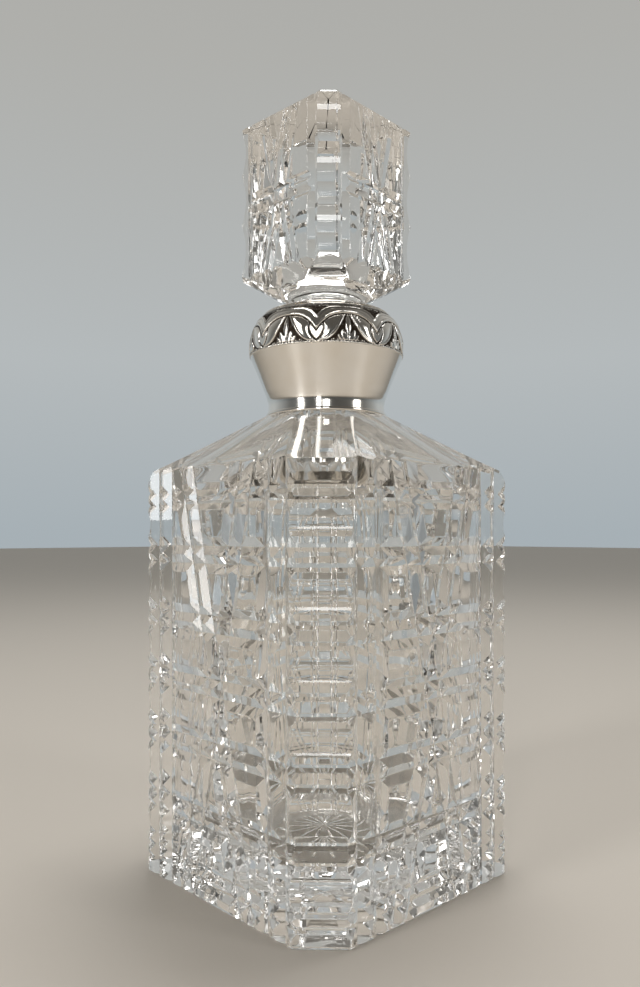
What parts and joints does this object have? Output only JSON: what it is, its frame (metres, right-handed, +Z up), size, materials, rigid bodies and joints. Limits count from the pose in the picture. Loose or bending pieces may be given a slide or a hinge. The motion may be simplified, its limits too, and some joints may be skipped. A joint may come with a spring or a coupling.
{
  "type": "wine decanter",
  "caption": "Square cut-crystal decanter with chamfered corners, an embossed silver collar and a ground glass stopper that lifts out.",
  "frame": {"origin": "centre of the base, on the surface the decanter stands on", "axes": "+Z up along the neck; the four cut faces are square to X and Y"},
  "size_m": [0.0956, 0.0956, 0.25],
  "materials": {
    "crystal": "polished lead crystal, clear",
    "silver": "polished silver",
    "silver_oxidised": "polished silver with dark oxidised recesses",
    "plaster": "set plaster"
  },
  "bodies": {
    "bottle": {"glass_body": "crystal", "collar_foot_wire": "silver", "collar_skirt": "silver", "collar_band": "silver_oxidised", "collar_lip": "silver", "bedding_plaster": "plaster"},
    "stopper": {"stopper": "crystal"}
  },
  "joints": [
    {"name": "stopper_lift", "type": "slide", "parent": "bottle", "child": "stopper", "axis": [0, 0, 1], "range_m": [0, 0.06]}
  ]
}
